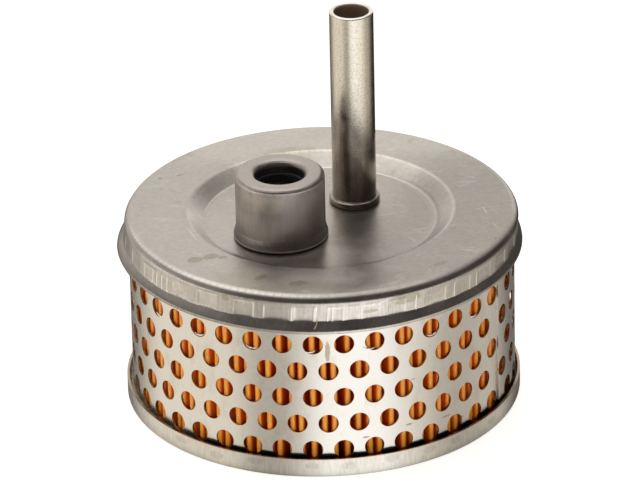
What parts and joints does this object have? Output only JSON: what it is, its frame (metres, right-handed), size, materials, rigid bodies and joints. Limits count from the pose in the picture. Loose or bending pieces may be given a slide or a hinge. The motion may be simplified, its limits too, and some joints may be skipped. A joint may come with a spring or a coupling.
{
  "type": "power steering filter",
  "caption": "Round pleated oil filter element in a perforated steel guard, with pressed end caps, an inlet boss with a seal, and a tall stand pipe.",
  "frame": {"origin": "middle of the bottom cap's flat face, on the axis of the round body", "axes": "+Z along the body's axis, up towards the inlet boss and the stand pipe; -Y is the side that the boss stands towards"},
  "size_m": [0.0856, 0.0856, 0.0833],
  "materials": {
    "bottom_cap_steel": "dull plated sheet steel, stained",
    "top_cap_steel": "dull plated sheet steel, warm grey, scratched",
    "guard_tinplate": "tinned sheet steel, satin",
    "boss_steel": "drawn steel, fine lines along the draw",
    "pipe_steel": "drawn steel tube, semi-bright, stained",
    "inner_steel": "plain sheet steel",
    "filter_paper": "resin-cured pleated filter paper, orange",
    "potting": "cured end-cap adhesive",
    "seal_rubber": "moulded black rubber"
  },
  "bodies": {
    "root": {"bottom_cap": "bottom_cap_steel", "bottom_potting": "potting", "outer_guard": "guard_tinplate", "pleated_media": "filter_paper", "media_seam_clip": "inner_steel", "centre_tube": "inner_steel", "top_potting": "potting", "top_cap": "top_cap_steel", "inlet_boss": "boss_steel", "inlet_seal": "seal_rubber", "seal_retainer": "inner_steel", "stand_pipe": "pipe_steel"}
  },
  "joints": []
}
